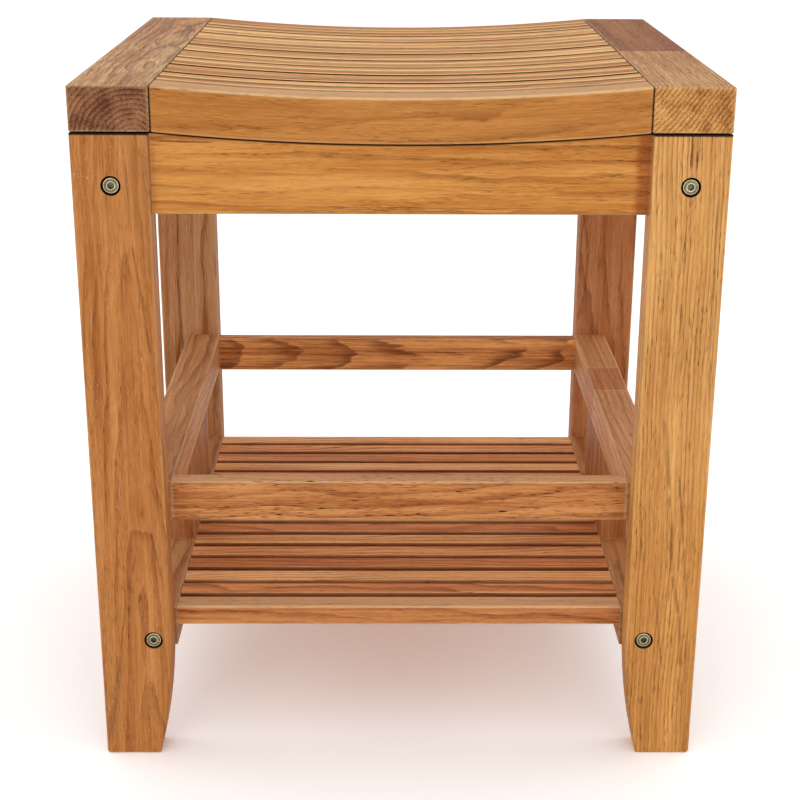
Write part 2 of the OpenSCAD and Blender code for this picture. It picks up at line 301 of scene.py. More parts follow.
def teak(name, node, axes, look, seed, dish=0.0):
    """Solid teak, in the board's own directions: rings round a pith, streaks, pores, edges paler
    from wear and a painted highlight, and painted light and shade.
    """
    graph = Graph(bpy.data.materials.new(name))
    settings = bpy.context.scene.shower_bench.teak
    low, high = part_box(node)
    if dish:
        low, high = Vector((-SLAT_HALF, low.y, low.z)), Vector((SLAT_HALF, high.y, high.z))
    centre = (low + high) / 2
    half = (high - low) / 2 / MM

    corner = graph.split(graph.add("ShaderNodeTexCoord", output="Object"))
    along, wide, deep = (
        (corner[axis] - centre["XYZ".index(axis)]) * (1 / MM) for axis in axes
    )
    reach, half_wide, half_deep = (half["XYZ".index(axis)] for axis in axes)
    if dish:
        sag = (1 - (along / reach) ** 2) * dish
        deep = deep + sag - dish / 2
        half_deep -= dish / 2
    place = graph.join(along, wide, deep)

    # growth rings: cones round the pith, which wanders along the board
    sway = graph.noise(place, (130, 70, 70), seed, 1) - 0.5
    swing = graph.noise(place, (90, 60, 60), seed + 4, 1) - 0.5
    from_pith_wide = wide - look.pith[0] + sway * (2 * look.wander)
    from_pith_deep = deep - look.pith[1] + swing * (3 * look.wander)
    radius = (from_pith_wide**2 + from_pith_deep**2) ** 0.5 + along * look.cone
    dark_spots, shadows, pale_joints = [], [], []
    # knots: longer along the board than across, with a dark middle, and the rings bend round them
    for knot_along, knot_wide, size in look.knots:
        off = (((along - knot_along) / 2.2) ** 2 + (wide - knot_wide) ** 2) ** 0.5
        radius = radius + off.step(2.6 * size, 0.0) * (1.3 * size)
        dark_spots.append(off.step(0.6 * size, 0.1 * size) * 0.3)
    ripple = graph.noise(place, (38, 7, 7), seed + 9, 2) - 0.5
    spacing = look.rings * settings.ring_spacing / RING_SPACING
    ring = (radius / spacing + ripple * 0.7).fraction()
    faint = graph.noise(place, (120, 9, 9), seed + 14, 1).step(0.30, 0.62)
    line = ring.step(0.5, 0.94) * ring.step(1.0, 0.94) * faint

    # streaks of tone, from broad to as fine as the fibres, with their sizes in millimetres
    broad = graph.noise(place, (240, 8, 8), seed + 19, 2)
    fine = graph.noise(place, (70, 1.7, 1.7), seed + 23, 2)
    grain = graph.noise(place, (16, 0.9, 0.9), seed + 27, 2)
    fibre = graph.noise(place, (6, 0.4, 0.4), seed + 29, 1)
    patch = graph.noise(place, (90, 26, 26), seed + 31, 1)
    vessel = graph.noise(place, (7.5, 0.8, 0.8), seed + 37, 1).step(0.58, 0.72)
    vessel = vessel * (graph.noise(place, (60, 8, 8), seed + 41, 1).step(0.35, 0.6) + line)
    fleck = graph.noise(place, (2.4, 1.1, 1.1), seed + 43, 1).step(0.66, 0.78)
    fleck = fleck * graph.noise(place, (46, 13, 13), seed + 47, 1).step(0.48, 0.66)

    # marks: lines of darker grain from one point to another, which fade at both ends
    for mark_along, mark_wide, end_along, end_wide, breadth, strength in look.marks:
        run, rise = end_along - mark_along, end_wide - mark_wide
        from_along = along - mark_along
        from_wide = wide - mark_wide + ripple * 2.4
        share = ((from_along * run + from_wide * rise) / (run**2 + rise**2)).held()
        off = ((from_along - share * run) ** 2 + (from_wide - share * rise) ** 2) ** 0.5
        taper = share.step(0.0, 0.12) * share.step(1.0, 0.85) * strength
        dark_spots.append(off.step(breadth, 0.2 * breadth) * (grain.step(0.32, 0.58) * taper))

    # cut ends, where the light is lost in the open pores
    facing = graph.split(graph.add("ShaderNodeTexCoord", output="Normal"))
    cut_end = abs(facing[axes[0]]).step(0.55, 0.85)

    # edges, from the second smallest of the distances to the three pairs of faces
    gaps = [
        abs(value) * -1 + size
        for value, size in ((along, reach), (wide, half_wide), (deep, half_deep))
    ]
    nearest = gaps[0].least(gaps[1])
    farther = gaps[0].most(gaps[1])
    second = nearest.most(farther.least(gaps[2]))
    if dish:
        second = gaps[1].most(gaps[2])
        # painted shade in the fine gap between each slat's ends and the end boards
        shadows.append(gaps[0].step(1.4, 0.6) * 0.95)
    # the edges are paler from wear, and from a painted highlight where they catch the light
    wear_and_highlight = second.step(2.0, 0.3) * (fine * 0.8 + 0.5)

    balance = (
        (broad - 0.5) * (1.7 * look.streaks)
        + (fine - 0.5) * (1.1 * look.streaks)
        + (patch - 0.5) * look.patches
        + (grain - 0.5) * (0.9 * look.grain) * (cut_end * -0.5 + 1)
        + (ring - 0.5) * (cut_end * -0.3 - 0.25)
        + 0.5
    ).held()

    def between(light, dark):
        return graph.blend(balance, tone(*dark), tone(*light))

    colour = between(look.light, look.dark)
    for start, softness, light, dark in look.changes:
        past = (along + ripple * (softness * 1.5)).step(start - softness, start + softness)
        colour = graph.blend(past, colour, between(light, dark))
        if softness < 1:  # a sharp change is a glued joint, which shows as a pale line
            pale_joints.append(abs(along - start).step(0.9, 0.3) * 0.5)
    colour = graph.blend(cut_end, colour, between(look.end_light, look.end_dark))
    line_share = line * (look.lines * settings.grain)
    colour = graph.blend(line_share, colour, tone(*look.line))
    colour = graph.blend(fleck * (0.5 * look.flecks), colour, tone(*FLECK))
    colour = graph.blend(wear_and_highlight * look.edge, colour, tone(*WORN_AND_LIT_EDGE))
    # painted shade in the gaps: the sides that face other slats are darkened
    gap_shades = []
    before, behind = look.gaps
    uneven = broad.step(0.2, 0.6) * 0.3 + 0.7
    under = abs(deep * -1 + half_deep)
    # where a gap's painted shade begins and where it is full: in from the slat's front edge,
    # down from its top, in from its back edge
    inward, downward, from_back = (1.3, 0.75), (0.2, 0.45), (1.9, 1.2)
    if dish:
        inward, downward, from_back = (1.8, 1.2), (0.02, 0.12), (3.5, 1.7)
        # the rounded front edge catches the light, on the front slat less than on the others
        lit = (wide * -1).step(half_wide - 4.4, half_wide - 2.6) * under.step(1.4, 0.6)
        lit = lit * (broad.step(0.36, 0.6) * 0.65 + 0.3) * (1 if before else 0.3)
        colour = graph.blend(lit, colour, tone(*LIT_EDGE))
    # painted light: the upper face is made paler, where it would catch more light
    if look.pale_top:
        from_top = under if dish else (corner["Z"] * -1 + high.z) / MM
        share = from_top.step(1.4, 0.5) * look.pale_top
        colour = graph.blend(share, colour, tone(*LIT_TOP))
    if before:
        flank = (wide * -1).step(half_wide - inward[0], half_wide - inward[1])
        gap_shades.append(flank * under.step(*downward) * uneven * before)
    if behind:
        flank = wide.step(half_wide - from_back[0], half_wide - from_back[1])
        gap_shades.append(flank * uneven * behind)
    # painted shade on the board just under the seat's dished underside
    if look.seam:
        x = abs(corner["X"]) / SLAT_HALF
        bend = (x.least(1.0) ** 2 - 1) * bpy.context.scene.shower_bench.seat.dish
        below = (bend - corner["Z"] + LEG_TOP) / MM
        shadows.append(below.step(1.5, 0.5) * look.seam)
    # painted shade in the holes that the bolts' heads lie in
    if look.bored:
        shadows.append(from_bolt_axis(graph, corner).step(*BORE_EDGE) * 0.9)
    for shares, tint in (
        (dark_spots, DARK_SPOT),
        (pale_joints, PALE_JOINT),
        (gap_shades, look.gap_tone),
        (shadows, SHADOW),
    ):
        if shares:
            colour = graph.blend(strongest(shares), colour, tone(*tint))
    hollows = gap_shades + shadows
    brightness = (
        1.0
        + (fibre - 0.5) * (0.5 * settings.grain * look.grain)
        - vessel * (0.36 * look.pores * settings.grain)
    )
    colour = graph.shade(colour, brightness)

    roughness = (
        settings.roughness
        + (fine - 0.5) * 0.14
        + vessel * 0.18
        + cut_end * 0.15
        - wear_and_highlight * 0.06
    )
    if hollows:
        roughness = roughness + strongest(hollows) * 0.4
    height = fibre * 0.4 + grain * 0.5 - vessel * 0.8 - line * 0.4 + fine * 0.3
    return graph.surface(
        colour, roughness, height, 0.22 * MM, IOR=1.3, Specular_IOR_Level=0.32
    )


# ---------------------------------------------------------------- metal and dowels


def bolt_axes():
    """Where the axes of an upper and a lower bolt on the right pass: (x, z) of each."""
    radius = bpy.context.scene.shower_bench.bolts.head_diameter / 2
    upper = (BOLTS_HIGH.x - radius, BOLTS_HIGH.z - radius)
    lower = ((SHELF_RAIL_LOW.x + SHELF_RAIL_HIGH.x) / 2, BOLTS_LOW.z + radius)
    return upper, lower


def from_bolt_axis(graph, corner):
    """Distance in millimetres from the axis of the nearest bolt, seen from the front or back."""
    upper, lower = bolt_axes()
    high_up = graph.add(
        "ShaderNodeMath", {"operation": "GREATER_THAN"}, {0: corner["Z"], 1: BETWEEN_BOLTS}
    )
    x = abs(corner["X"]) - lower[0] - high_up * (upper[0] - lower[0])
    z = corner["Z"] - lower[1] - high_up * (upper[1] - lower[1])
    return (x**2 + z**2) ** 0.5 * (1 / MM)


def plated(name, colour, grime, roughness, turned):
    """Plated metal with grime and scratches; if turned, with turning lines, and with very dark
    painted shade in the socket and round the rim.
    """
    graph = Graph(bpy.data.materials.new(name))
    place = graph.add("ShaderNodeTexCoord", output="Object")
    corner = graph.split(place)
    cloud = graph.noise(place, (2.4 * MM,) * 3, 3, 2)
    scratch = graph.noise(place, (0.12 * MM, 0.9 * MM, 0.5 * MM), 8, 2)
    if turned:
        radius = from_bolt_axis(graph, corner)
        groove = radius.step(2.6, 2.9) * radius.step(4.4, 4.15)
        dirt = groove * (cloud * 0.7 + 0.5)
        relief = (radius * 5.2).fraction() * 0.4 + scratch * 0.6
    else:
        dirt = cloud.step(0.45, 0.8) * 0.5
        relief = scratch
    tinted = graph.blend(cloud.step(0.3, 0.7), colour, tuple(0.86 * c for c in colour))
    tinted = graph.blend(dirt.held(), tinted, grime)
    if turned:
        # painted shade, almost black, in the hex socket and round the head's rim where the hole
        # shades it
        painted_shade = radius.step(2.45, 2.15).most(radius.step(4.8, 5.1))
        tinted = graph.blend(painted_shade * 0.85, tinted, tone(34, 28, 22))
    return graph.surface(
        tinted,
        dirt * 0.25 + (scratch - 0.5) * 0.16 + roughness,
        relief,
        0.03 * MM,
        Metallic=1.0,
    )


def beech(name):
    """Pale, fine-grained wood with short brown rays, for the dowels."""
    graph = Graph(bpy.data.materials.new(name))
    place = graph.add("ShaderNodeTexCoord", output="Object")
    broad = graph.noise(place, (9 * MM, 9 * MM, 9 * MM), 2, 2)
    ray = graph.noise(place, (0.5 * MM, 1.8 * MM, 0.5 * MM), 5, 1).step(0.62, 0.72)
    colour = graph.blend(broad.step(0.3, 0.7), tone(214, 176, 128), tone(196, 152, 104))
    colour = graph.blend(ray * 0.5, colour, tone(150, 104, 66))
    return graph.surface(colour, broad * 0.2 + 0.5, ray, 0.05 * MM)


# ---------------------------------------------------------------- modelling by hand


def select_only(piece):
    """Selects this piece alone and makes it active."""
    bpy.ops.object.select_all(action="DESELECT")
    piece.select_set(True)
    bpy.context.view_layer.objects.active = piece


def pick(piece, parts, test):
    """In edit mode, selects the mesh's verts, edges or faces whose middle passes a test."""
    bpy.ops.mesh.select_all(action="DESELECT")
    bpy.ops.mesh.select_mode(type={"verts": "VERT", "edges": "EDGE", "faces": "FACE"}[parts])
    mesh = bmesh.from_edit_mesh(piece.data)
    for part in getattr(mesh, parts):
        if parts == "verts":
            middle = part.co
        elif parts == "edges":
            middle = (part.verts[0].co + part.verts[1].co) / 2
        else:
            middle = part.calc_center_median()
        part.select_set(bool(test(middle)))
    mesh.select_flush(True)
    bmesh.update_edit_mesh(piece.data)


def tidy(piece, angle=35):
    """Joins doubles, turns faces outwards and smooths all but the sharp edges."""
    select_only(piece)
    bpy.ops.object.mode_set(mode="EDIT")
    bpy.ops.mesh.select_all(action="SELECT")
    bpy.ops.mesh.remove_doubles(threshold=TOUCHING)
    bpy.ops.mesh.normals_make_consistent(inside=False)
    bpy.ops.object.mode_set(mode="OBJECT")
    bpy.ops.object.shade_smooth_by_angle(angle=math.radians(angle))


def soften_edges(piece, width, angle=40):
    """Rounds the piece's sharp edges."""
    select_only(piece)
    bevel = piece.modifiers.new("Softened edges", "BEVEL")
    bevel.width = width
    bevel.segments = 2
    bevel.limit_method = "ANGLE"
    bevel.angle_limit = math.radians(angle)
    bpy.ops.object.modifier_apply(modifier=bevel.name)


def turn_mesh(piece, angle):
    """Turns a piece's mesh about the X axis."""
    select_only(piece)
    piece.rotation_euler = (angle, 0, 0)
    bpy.ops.object.transform_apply(location=False, rotation=True, scale=False)


def copy_to(piece, name, offset):
    """A copy with its own mesh, moved by offset, with its place in its mesh."""
    select_only(piece)
    bpy.ops.object.duplicate(linked=False)
    copied = bpy.context.active_object
    copied.name = copied.data.name = name
    copied.location = offset
    bpy.ops.object.transform_apply(location=True, rotation=True, scale=True)
    return copied


def dress(piece, material):
    """Gives a new piece its material."""
    piece.data.materials.clear()
    piece.data.materials.append(material)


def finish_node(node, material):
    """Gives a node of the frame its material."""
    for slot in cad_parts[node].material_slots:
        slot.material = material


def seat_slat(name, width, thickness, seat):
    """A slat bent along the dish: a section swung round the dish's axis, cut square, mirrored."""
    radius = (SLAT_HALF**2 + seat.dish**2) / (2 * seat.dish)
    axis_z = SEAT_TOP - seat.dish + radius
    spare = 1.1  # the section is swung past the slat's end, which is then cut
    bpy.ops.object.select_all(action="DESELECT")
    bpy.ops.mesh.primitive_plane_add(
        size=1,
        location=(0, 0, axis_z - radius - thickness / 2),
        rotation=(0, math.pi / 2, 0),
    )
    slat = bpy.context.active_object
    slat.name = slat.data.name = name
    slat.scale = (thickness, width, 1)
    bpy.ops.object.transform_apply(location=True, rotation=True, scale=True)
    bpy.ops.object.mode_set(mode="EDIT")
    bpy.ops.mesh.select_all(action="SELECT")
    bpy.ops.mesh.bevel(offset=seat.slat_rounding, segments=4, affect="VERTICES")
    bpy.ops.mesh.select_all(action="SELECT")
    bpy.ops.mesh.spin(
        steps=seat.arc_steps,
        angle=math.asin(SLAT_HALF / radius) * spare,
        center=(0, 0, axis_z),
        axis=(0, 1, 0),
    )
    mesh = bmesh.from_edit_mesh(slat.data)
    side = 1 if sum(v.co.x for v in mesh.verts) > 0 else -1
    bpy.ops.mesh.select_all(action="SELECT")
    bpy.ops.mesh.bisect(
        plane_co=(side * (SLAT_HALF - seat.end_gap), 0, 0),
        plane_no=(side, 0, 0),
        use_fill=True,
        clear_outer=True,
    )
    pick(slat, "faces", lambda middle: abs(middle.x) < TOUCHING)
    bpy.ops.mesh.delete(type="FACE")
    bpy.ops.object.mode_set(mode="OBJECT")
    mirror = slat.modifiers.new("Other half", "MIRROR")
    mirror.merge_threshold = TOUCHING
    bpy.ops.object.modifier_apply(modifier=mirror.name)
    tidy(slat)
    soften_edges(slat, 0.35 * MM)
    tidy(slat)
    return slat


def turned_loops(profile):
    """In edit mode, drags the selected ring through a profile of (radius, height), loop by loop."""
    radius, height = profile[0]
    for next_radius, next_height in profile[1:]:
        bpy.ops.mesh.extrude_edges_move()
        bpy.ops.transform.translate(value=(0, 0, next_height - height))
        ratio = next_radius / radius
        bpy.ops.transform.resize(value=(ratio, ratio, 1), center_override=(0, 0, next_height))
        radius, height = next_radius, next_height


def bolt(name, bolts):
    """A bolt that points down from the origin, with a socket, a turned ring and a chamfered rim."""
    # the turned ring between the socket and the rim
    inner, outer, deep, slope = 2.8 * MM, 4.3 * MM, 0.4 * MM, 0.1 * MM
    head, rim = bolts.head_diameter / 2, 0.7 * MM
    shank, height, length = bolts.shank_diameter / 2, 5 * MM, 50 * MM
    socket = bolts.socket / 2 / math.cos(math.pi / 6)
    bpy.ops.object.select_all(action="DESELECT")
    bpy.ops.mesh.primitive_circle_add(vertices=48, radius=inner, fill_type="NOTHING")
    piece = bpy.context.active_object
    piece.name = piece.data.name = name
    bpy.ops.object.mode_set(mode="EDIT")
    bpy.ops.mesh.select_all(action="SELECT")
    turned_loops(
        [
            (inner, 0),
            (inner + slope, -deep),
            (outer - slope, -deep),
            (outer, 0),
            (head - rim, 0),
            (head, -rim),
            (head, -height),
            (shank, -height),
            (shank, -height - length + rim),
            (shank - rim, -height - length),
        ]
    )
    bpy.ops.mesh.edge_face_add()
    pick(piece, "edges", lambda middle: middle.z == 0 and middle.xy.length < inner)
    bpy.ops.mesh.edge_face_add()
    bpy.ops.object.mode_set(mode="OBJECT")
    tidy(piece)
    bpy.ops.object.select_all(action="DESELECT")
    bpy.ops.mesh.primitive_cylinder_add(vertices=6, radius=socket, depth=2 * bolts.socket_depth)
    key = bpy.context.active_object
    select_only(piece)
    cut = piece.modifiers.new("Hexagon socket", "BOOLEAN")
    cut.operation = "DIFFERENCE"
    cut.solver = "EXACT"
    cut.object = key
    bpy.ops.object.modifier_apply(modifier=cut.name)
    bpy.data.objects.remove(key)
    tidy(piece)
    soften_edges(piece, 0.12 * MM, 30)
    tidy(piece, 40)
    return piece


# ---------------------------------------------------------------- settings


def colour_setting(name, description, default):
    """A colour that the user can change; the default is given as screen values."""
    return FloatVectorProperty(
        name=name,
        description=description,
        default=tone(*default),
        subtype="COLOR",
        min=0,
        max=1,
    )


class TeakSettings(bpy.types.PropertyGroup):
    ring_spacing: FloatProperty(
        name="Ring spacing",
        description="Average distance between the growth rings",
        default=RING_SPACING,
        min=1 * MM,
        unit="LENGTH",
    )
    grain: FloatProperty(
        name="Grain",
        description="How strongly lines, fibres and pores show",
        default=1.0,
        min=0,
        max=2,
        subtype="FACTOR",
    )
    roughness: FloatProperty(
        name="Roughness",
        description="Roughness of the oiled wood",
        default=0.56,
        min=0.05,
        max=1,
        subtype="FACTOR",
    )


class SeatSettings(bpy.types.PropertyGroup):
    dish: FloatProperty(
        name="Dish",
        description="How far the middle of the seat lies below its ends",
        default=7.4 * MM,
        min=1 * MM,
        unit="LENGTH",
    )
    slat_rounding: FloatProperty(
        name="Slat rounding",
        description="Radius of the slats' long edges",
        default=1.7 * MM,
        min=0.2 * MM,
        unit="LENGTH",
    )
    end_gap: FloatProperty(
        name="End gap",
        description="Fine gap between a slat's end and the end board",
        default=0.2 * MM,
        min=0,
        unit="LENGTH",
    )
    arc_steps: IntProperty(
        name="Arc steps",
        description="Number of steps in half a slat's bend",
        default=16,
        min=4,
    )


class BoltSettings(bpy.types.PropertyGroup):
    head_diameter: FloatProperty(
        name="Head",
        description="Diameter of the bolts' heads",
        default=10.6 * MM,
        min=8 * MM,
        unit="LENGTH",
    )
    shank_diameter: FloatProperty(
        name="Shank",
        description="Diameter of the bolts' shanks",
        default=6 * MM,
        min=3 * MM,
        unit="LENGTH",
    )
    socket: FloatProperty(
        name="Socket",
        description="Size of the hexagon socket across its flats",
        default=4 * MM,
        min=2 * MM,
        unit="LENGTH",
    )
    socket_depth: FloatProperty(
        name="Socket depth",
        description="Depth of the hexagon socket",
        default=2.2 * MM,
        min=0.5 * MM,
        unit="LENGTH",
    )
    plating: colour_setting("Plating", "Colour of the bolts' plating", (208, 198, 166))
    zinc: colour_setting("Zinc", "Colour of the barrel nuts", (196, 198, 200))


class StageSettings(bpy.types.PropertyGroup):
    floor_colour: colour_setting("Floor", "Colour of the floor", (242, 242, 242))
    sky: FloatProperty(
        name="Sky",
        description="Strength of the even light from all around",
        default=0.79,
        min=0,
    )
    key_power: FloatProperty(
        name="Key light",
        description="Power of the large lamp in front, on the left",
        default=10.0,
        min=0,
        unit="POWER",
    )
    fill_power: FloatProperty(
        name="Fill light",
        description="Power of the lamp in front, on the right",
        default=10.5,
        min=0,
        unit="POWER",
    )
    side_power: FloatProperty(
        name="Side lights",
        description="Power of each of the two lamps beside the bench",
        default=8.0,
        min=0,
        unit="POWER",
    )
    top_power: FloatProperty(
        name="Top light",
        description="Power of the lamp above",
        default=3.0,
        min=0,
        unit="POWER",
    )
    camera_place: FloatVectorProperty(
        name="Camera",
        description="Place of the camera",
        default=(-8.2 * MM, -1079.8 * MM, 602.0 * MM),
        subtype="TRANSLATION",
        unit="LENGTH",
    )
    camera_turn: FloatVectorProperty(
        name="Camera turn",
        description="How far the camera tips down, turns left and rolls",
        default=(math.radians(18.31), -0.0087, 0.0048),
        subtype="EULER",
        unit="ROTATION",
    )
    lens: FloatProperty(
        name="Lens",
        description="Focal length in millimetres",
        default=68.44,
        min=10,
    )
    shift: FloatProperty(
        name="Shift",
        description="Vertical shift of the lens",
        default=-0.08,
    )


class BenchSettings(bpy.types.PropertyGroup):
    teak: PointerProperty(type=TeakSettings)
    seat: PointerProperty(type=SeatSettings)
    bolts: PointerProperty(type=BoltSettings)
    stage: PointerProperty(type=StageSettings)


# ---------------------------------------------------------------- how each board looks

LEGS = {
    "leg_front_left": Look(
        (200, 134, 74),
        (160, 94, 42),
        line=(122, 62, 24),
        rings=7.5,
        pith=(7, -17),
        cone=0.06,
        lines=0.35,
        streaks=0.85,
        flecks=0.8,
        marks=(
            (212, 17, 120, 21, 8, 0.22),
            (202, 9, 150, 11, 1.3, 0.5),
            (150, 11, 70, 20, 1.2, 0.55),
            (-14, 14, -28, 19.5, 0.9, 0.5),
            (-45, 13, -92, 21, 1.0, 0.5),
            (-64, 3, -92, -4, 1.0, 0.4),
            (-90, -4, -146, -12, 1.0, 0.5),
            (-140, -11, -210, -22, 3.4, 0.4),
        ),
        knots=((-35, 8.5, 4.5),),
        seam=0.95,
        bored=True,
    ),
    "leg_front_right": Look(
        (221, 158, 86),
        (174, 110, 50),
        line=(128, 78, 34),
        rings=2.7,
        pith=(-75, -22),
        cone=0.012,
        lines=0.38,
        streaks=0.8,
        pores=0.85,
        changes=((-10, 70, (234, 177, 105), (189, 127, 65)),),
        marks=(
            (229, -2, 192, -1, 0.8, 0.85),
            (222, 4, 192, 2.6, 0.8, 0.8),
            (192, 0.8, 120, -4, 0.7, 0.5),
            (110, -2, 88, 0, 1.6, 0.6),
            (178, 17, 30, 20, 1.6, 0.45),
            (70, 6, 8, 8.5, 0.9, 0.4),
            (34, -7.5, -20, -0.7, 2.4, 0.5),
            (-18, -0.7, -80, 4.2, 2.2, 0.5),
            (-78, 4.2, -110, 10.7, 1.8, 0.5),
            (-106, 10.7, -150, 14, 1.8, 0.5),
            (-4, 4.2, -60, 10.7, 1.2, 0.6),
            (-56, 10.7, -100, 15.6, 1.4, 0.4),
            (-92, -6.4, -152, 2.5, 1.1, 0.45),
        ),
        seam=0.9,
        bored=True,
    ),
    "leg_back_left": Look(
        (186, 138, 97),
        (157, 90, 40),
        line=(104, 54, 24),
        rings=9,
        pith=(40, -30),
        lines=0.5,
        marks=((160, -4, 40, -9, 1.5, 0.6), (40, -9, -60, -6, 1.3, 0.55)),
        bored=True,
    ),
    "leg_back_right": Look(
        (188, 127, 82),
        (160, 89, 41),
        line=(106, 54, 24),
        rings=8,
        pith=(-30, 34),
        lines=0.45,
        streaks=0.9,
        bored=True,
        marks=(
            (92, -22, 53, -16, 1.2, 0.6),
            (55, -16, 16, -16.7, 1.2, 0.6),
            (18, -16.7, -6, -22, 1.0, 0.5),
        ),
    ),
}

APRONS = {
    "apron_front": (
        SIDEWAYS,
        Look(
            (213, 149, 75),
            (180, 108, 40),
            rings=8,
            pith=(-48, 30),
            cone=0.02,
            # darker from 144 mm along to the end, as painted shade next to the right front leg
            changes=((144, 3, (178, 108, 46), (140, 70, 24)),),
            marks=(
                (-152, 20, -112, 19, 0.8, 0.9),
                (-152, -19.5, 152, -22.5, 0.5, 0.55),
                (20, 2, 90, 9, 0.5, 0.4),
            ),
            seam=0.97,
        ),
    ),
    "apron_back": (
        SIDEWAYS,
        Look((200, 134, 70), (168, 98, 42), rings=7, pith=(30, -34), seam=0.9),
    ),
    "apron_left": (LENGTHWISE, Look((196, 130, 70), (158, 92, 42), rings=6, pith=(20, -40))),
    "apron_right": (LENGTHWISE, Look((202, 138, 76), (164, 98, 46), rings=6, pith=(-28, 36))),
}

SEAT_ENDS = {
    "seat_end_left": Look(
        (224, 178, 126),
        (160, 108, 62),
        line=(92, 50, 26),
        rings=3.0,
        pith=(14, -20),
        cone=0.0,
        lines=0.5,
        streaks=0.7,
        patches=1.3,
        grain=2.6,
        flecks=1.0,
        wander=2.5,
        edge=0.2,
        end_light=(164, 112, 78),
        end_dark=(90, 50, 28),
        changes=((30, 60, (202, 146, 94), (136, 84, 46)),),
    ),
    "seat_end_right": Look(
        (214, 162, 104),
        (160, 106, 54),
        line=(120, 70, 34),
        rings=2.6,
        pith=(-60, 46),
        lines=0.55,
        patches=1.1,
        grain=2.4,
        edge=0.2,
        end_light=(222, 162, 94),
        end_dark=(150, 92, 40),
        changes=((-19, 0.3, (168, 102, 47), (119, 61, 21)),),
    ),
}

RINGS = {
    "ring_rail_front": (
        SIDEWAYS,
        Look(
            (210, 142, 84),
            (156, 86, 38),
            line=(112, 54, 22),
            rings=6,
            pith=(24, -30),
            grain=1.4,
            pores=1.6,
            edge=0.2,
            pale_top=0.5,
        ),
    ),
    "ring_rail_back": (
        SIDEWAYS,
        Look(
            (246, 176, 106),
            (158, 86, 40),
            line=(92, 42, 18),
            rings=6.5,
            pith=(2, 22),
            cone=0.11,
            lines=0.65,
            streaks=1.3,
        ),
    ),
    "ring_rail_left": (
        LENGTHWISE,
        Look((216, 157, 105), (170, 112, 66), rings=5, pith=(30, -30), edge=0.25),
    ),
    "ring_rail_right": (
        LENGTHWISE,
        Look(
            (226, 166, 116),
            (180, 122, 76),
            rings=5,
            pith=(-40, 22),
            edge=0.25,
            changes=(
                (20, 0.3, (211, 143, 90), (164, 99, 57)),
                (71, 0.3, (221, 161, 109), (178, 119, 73)),
            ),
        ),
    ),
}

SHELF_RAILS = {
    "shelf_rail_left": Look((202, 146, 96), (164, 106, 62), rings=5, pith=(24, -36), edge=0.2),
    "shelf_rail_right": Look((196, 136, 84), (156, 96, 52), rings=5, pith=(-30, -30), edge=0.2),
}

PANELS = {
    "side_panel_left": Look((194, 134, 82), (146, 80, 38), rings=7, pith=(10, -26), lines=0.5),
    "side_panel_right": Look((190, 126, 74), (144, 78, 38), rings=7, pith=(-12, 28), lines=0.5),
}

# Boards for the slats, taken in turn: light, dark, ring spacing, pith, lines
SEAT_STOCK = [
    ((242, 171, 96), (191, 117, 53), 3.4, (40, 20), 0.45),
    ((227, 155, 84), (179, 106, 46), 4.6, (9, -24), 0.5),
    ((255, 190, 113), (209, 138, 69), 3.0, (-36, 22), 0.4),
    ((220, 148, 77), (167, 97, 39), 5.2, (12, 18), 0.5),
    ((237, 165, 90), (186, 112, 50), 3.8, (-24, -34), 0.4),
    ((213, 140, 69), (164, 92, 36), 4.2, (30, -12), 0.5),
    ((250, 183, 104), (199, 126, 58), 3.2, (-44, 10), 0.4),
]
# the shelf's tones are written lighter than the wood, as painted light that makes up for the shade
# under the seat
SHELF_STOCK = [
    ((254, 188, 122), (212, 134, 76), 4.0, (28, -14), 0.45),
    ((246, 167, 106), (197, 116, 63), 5.0, (-12, -22), 0.5),
    ((255, 195, 131), (219, 143, 86), 3.4, (36, 18), 0.4),
    ((238, 157, 96), (186, 105, 56), 4.6, (-30, 20), 0.45),
    ((250, 177, 114), (205, 126, 72), 3.8, (14, 24), 0.45),
]
# How dark the painted shade in the gap behind each seat slat is, from the front
SEAT_GAPS = (
    (0.55, 0.7, 1.0, 0.45, 1.0, 0.4, 0.8, 0.4, 0.9, 0.35)
    + (1.0, 0.45, 0.6, 0.35, 0.9, 0.35, 0.9, 0.75, 0.65)
)
# How dark the painted shade in the gap behind each shelf slat is, from the front
SHELF_GAPS = (0.8, 0.6, 0.9, 0.7, 0.85, 0.75, 0.65, 0.9, 0.7, 0.8, 0.6, 0.85, 0.7, 0.9, 0.75)


def stock_look(stock, gaps, index, **changes):
    """The look of one slat of a row; the two outer slats have no gap on their outer side."""
    light, dark, rings, pith, lines = stock[index % len(stock)]
    sides = (0.0, *gaps, 0.0)[index : index + 2]
    look = Look(light, dark, rings=rings, pith=pith, lines=lines, gaps=sides)
    return look._replace(**changes)


# ---------------------------------------------------------------- operators

# Each board's noise has a seed of its own, so no two boards are alike


class BENCH_OT_legs(bpy.types.Operator):
    """Finish the four legs in teak"""

    bl_idname = "bench.legs"
    bl_label = "Finish the legs"

    def execute(self, context):
        for seed, (node, look) in enumerate(LEGS.items()):
            finish_node(node, teak(f"Teak {node}", node, UPRIGHT, look, seed))
        return {"FINISHED"}


class BENCH_OT_aprons(bpy.types.Operator):
    """Finish the aprons under the seat"""

    bl_idname = "bench.aprons"
    bl_label = "Finish the aprons"

    def execute(self, context):
        for seed, (node, (axes, look)) in enumerate(APRONS.items(), 10):
            finish_node(node, teak(f"Teak {node}", node, axes, look, seed))
        return {"FINISHED"}


class BENCH_OT_seat_ends(bpy.types.Operator):
    """Finish the seat's two end boards"""

    bl_idname = "bench.seat_ends"
    bl_label = "Finish the seat's end boards"

    def execute(self, context):
        for seed, (node, look) in enumerate(SEAT_ENDS.items(), 20):
            finish_node(node, teak(f"Teak {node}", node, LENGTHWISE, look, seed))
        return {"FINISHED"}


